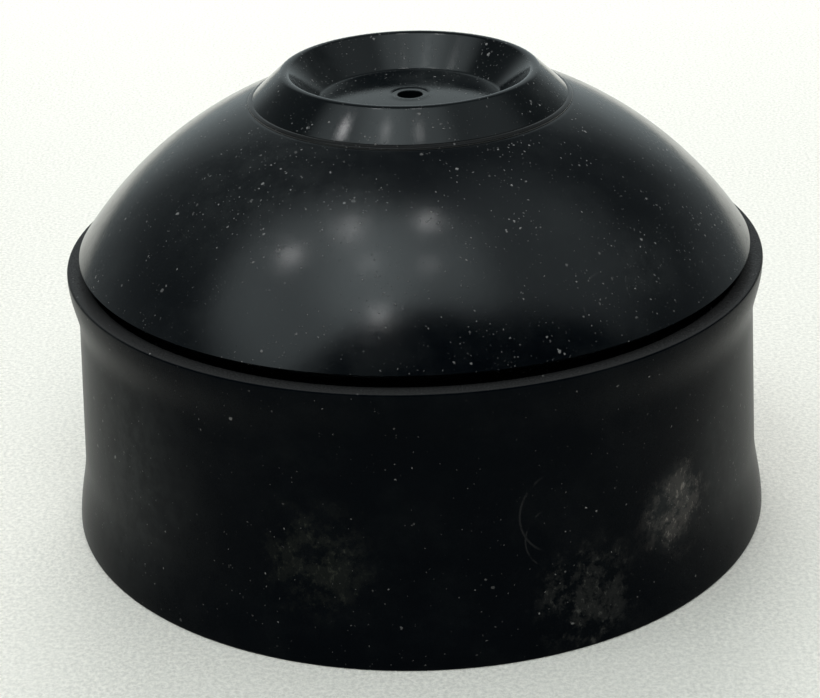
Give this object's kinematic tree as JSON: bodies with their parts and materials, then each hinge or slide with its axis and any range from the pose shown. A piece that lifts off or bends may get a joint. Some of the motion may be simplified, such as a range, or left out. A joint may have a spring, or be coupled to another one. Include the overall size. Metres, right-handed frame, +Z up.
{
  "type": "sink plunger cup",
  "caption": "Round rubber plunger cup: straight skirt with a lip, springy dome plugged into it, and a dished boss in the crown with a screw hole for a handle.",
  "frame": {"origin": "centre of the skirt's sealing edge, on the surface the cup stands on", "axes": "+Z up along the cup's axis of revolution, out of the boss"},
  "size_m": [0.103, 0.103, 0.0663],
  "materials": {
    "skirt_rubber": "matte, dusty",
    "dome_rubber": "soft gloss",
    "ring_steel": "satin",
    "boss_rubber": "hard, satin",
    "gasket_rubber": "matte",
    "insert_brass": "turned",
    "washer_steel": "zinc plated",
    "nut_nylon": "moulded"
  },
  "bodies": {
    "cup": {"skirt": "skirt_rubber", "dome": "dome_rubber", "retaining_ring": "ring_steel"},
    "press_boss": {"boss": "boss_rubber", "boss_gasket": "gasket_rubber", "handle_insert": "insert_brass", "backing_washer": "washer_steel", "ring_nut": "nut_nylon"}
  },
  "joints": [
    {"name": "boss_press", "type": "slide", "parent": "cup", "child": "press_boss", "axis": [0, 0, -1], "range_m": [0, 0.01], "stiffness_N_per_m": 5000, "deforming": ["dome"]}
  ]
}
